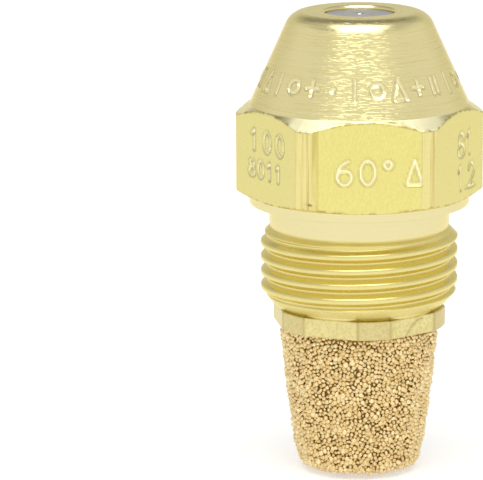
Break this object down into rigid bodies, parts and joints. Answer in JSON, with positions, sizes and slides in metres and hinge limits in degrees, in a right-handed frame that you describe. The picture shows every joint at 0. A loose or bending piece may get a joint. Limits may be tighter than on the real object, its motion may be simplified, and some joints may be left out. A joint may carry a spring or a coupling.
{
  "type": "oil burner nozzle",
  "caption": "Hexagon brass spray nozzle for an oil burner, with a conical tip, a steel orifice disc, an outside thread and a sintered cup filter at its rear.",
  "frame": {"origin": "on the nozzle's axis, at the rear face of the body that seals in the nozzle adapter, 12.0 mm above the bottom of the filter", "axes": "+Z along the axis towards the spray orifice; two flats of the body's hexagon face +Y and -Y, and a corner lies on +X"},
  "size_m": [0.0176, 0.016, 0.0333],
  "materials": {
    "body_brass": "machined, matte flats and bright turned faces",
    "orifice_steel": "ground stainless steel",
    "distributor_steel": "turned stainless steel",
    "lock_screw_brass": "turned brass",
    "filter_base_brass": "fine sanded brass",
    "sintered_bronze": "porous sintered bronze grains, matte"
  },
  "bodies": {
    "nozzle": {"nozzle_body": "body_brass", "orifice_disc": "orifice_steel"},
    "distributor": {"distributor": "distributor_steel"},
    "lock_screw": {"lock_screw": "lock_screw_brass"},
    "filter_element": {"filter_element": "sintered_bronze"},
    "filter_base": {"filter_base": "filter_base_brass"}
  },
  "joints": [
    {"name": "distributor_travel", "type": "slide", "parent": "nozzle", "child": "distributor", "axis": [0, 0, -1], "range_m": [0, 0.00317]},
    {"name": "lock_screw_turn", "type": "hinge", "parent": "distributor", "child": "lock_screw", "pos_m": [0, 0, 0.0095], "axis": [0, 0, -1], "range_deg": [0, 1440]},
    {"name": "filter_travel", "type": "slide", "parent": "nozzle", "child": "filter_element", "axis": [0, 0, -1], "range_m": [0, 0.00476]},
    {"name": "filter_turn", "type": "hinge", "parent": "filter_element", "child": "filter_base", "pos_m": [0, 0, 0], "axis": [0, 0, -1], "range_deg": [0, 2160]}
  ],
  "couplings": [
    {"joint": "lock_screw_turn", "follows": "distributor_travel", "rad_per_m": 7915.8},
    {"joint": "filter_turn", "follows": "filter_travel", "rad_per_m": 7915.8}
  ]
}
